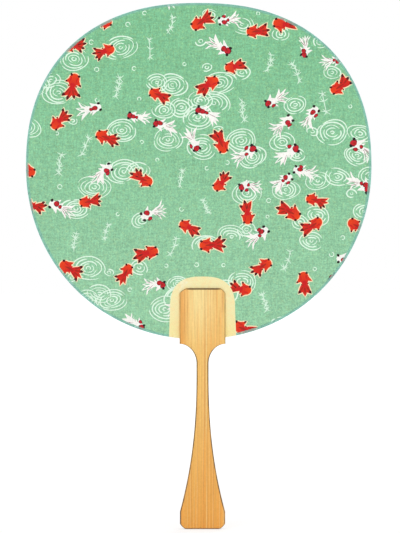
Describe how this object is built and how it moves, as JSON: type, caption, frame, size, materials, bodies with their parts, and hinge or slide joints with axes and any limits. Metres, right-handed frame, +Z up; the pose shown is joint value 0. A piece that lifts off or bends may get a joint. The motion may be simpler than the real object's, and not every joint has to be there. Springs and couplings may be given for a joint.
{
  "type": "round hand fan",
  "caption": "Flat round paper hand fan on split-bamboo ribs, with a bound edge and a flat wooden handle slotted over the body.",
  "frame": {"origin": "middle of the handle's flat foot, the end by which the fan is held or stood in a stand", "axes": "+Z up along the handle towards the body, +Y out of the plain back, so the printed face looks towards -Y, +X to the right seen from the front"},
  "size_m": [0.245, 0.008, 0.3727],
  "materials": {
    "handle_wood": "smooth planed, hand-rubbed satin",
    "printed_paper": "matte printed washi",
    "plain_paper": "matte unprinted washi",
    "base_paper": "matte dyed washi",
    "binding_paper": "matte dyed washi strip",
    "bamboo_rib": "split bamboo"
  },
  "bodies": {
    "root": {"handle": "handle_wood", "front_paper": "printed_paper", "back_paper": "plain_paper", "edge_binding": "binding_paper", "front_base_paper": "base_paper", "back_base_paper": "base_paper", "rib_01": "bamboo_rib", "rib_02": "bamboo_rib", "rib_03": "bamboo_rib", "rib_04": "bamboo_rib", "rib_05": "bamboo_rib", "rib_06": "bamboo_rib", "rib_07": "bamboo_rib", "rib_08": "bamboo_rib", "rib_09": "bamboo_rib", "rib_10": "bamboo_rib", "rib_11": "bamboo_rib", "rib_12": "bamboo_rib", "rib_13": "bamboo_rib", "rib_14": "bamboo_rib", "rib_15": "bamboo_rib", "rib_16": "bamboo_rib", "rib_17": "bamboo_rib", "rib_18": "bamboo_rib", "rib_19": "bamboo_rib", "rib_20": "bamboo_rib", "rib_21": "bamboo_rib", "rib_22": "bamboo_rib", "rib_23": "bamboo_rib", "rib_24": "bamboo_rib", "rib_25": "bamboo_rib", "rib_26": "bamboo_rib", "rib_27": "bamboo_rib", "rib_28": "bamboo_rib", "rib_29": "bamboo_rib", "rib_30": "bamboo_rib", "rib_31": "bamboo_rib", "rib_32": "bamboo_rib", "rib_33": "bamboo_rib", "rib_34": "bamboo_rib", "rib_35": "bamboo_rib", "rib_36": "bamboo_rib", "rib_37": "bamboo_rib", "rib_38": "bamboo_rib", "rib_39": "bamboo_rib", "rib_40": "bamboo_rib", "rib_41": "bamboo_rib", "rib_42": "bamboo_rib", "rib_43": "bamboo_rib", "rib_44": "bamboo_rib", "rib_45": "bamboo_rib", "rib_46": "bamboo_rib", "rib_47": "bamboo_rib", "rib_48": "bamboo_rib", "rib_49": "bamboo_rib", "rib_50": "bamboo_rib", "rib_51": "bamboo_rib"}
  },
  "joints": []
}
